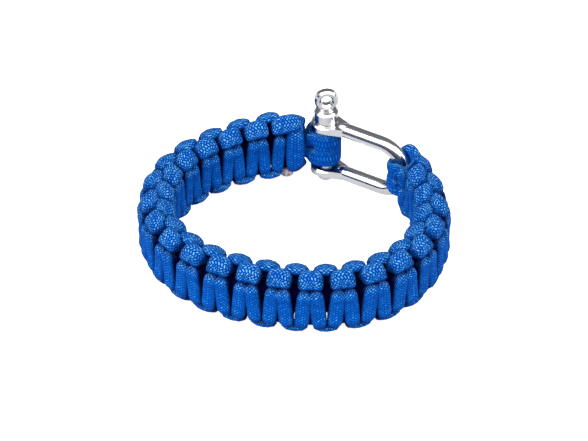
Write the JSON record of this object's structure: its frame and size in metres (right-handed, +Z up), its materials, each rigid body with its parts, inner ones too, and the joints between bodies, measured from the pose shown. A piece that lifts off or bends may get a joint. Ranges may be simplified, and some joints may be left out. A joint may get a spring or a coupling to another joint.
{
  "type": "paracord bracelet with shackle clasp",
  "caption": "Closed bracelet of flat-woven round cord over a looped core, joined by a steel shackle whose screw pin passes through the core's end loops.",
  "frame": {"origin": "middle of the bracelet's bounding box, at the height of the surface it lies on", "axes": "+Z up with the bracelet lying on its edge, +X along its longer way, the shackle at the back right towards +Y"},
  "size_m": [0.0796, 0.0682, 0.0295],
  "materials": {
    "cord": "braided nylon, slight sheen",
    "steel": "polished"
  },
  "bodies": {
    "bracelet": {"core_cord": "cord", "outer_strand": "cord", "inner_strand": "cord", "shackle_body": "steel"},
    "pin": {"shackle_pin": "steel"}
  },
  "joints": [
    {"name": "pin_slide", "type": "slide", "parent": "bracelet", "child": "pin", "axis": [0, 0, 1], "range_m": [0, 0.02]}
  ]
}
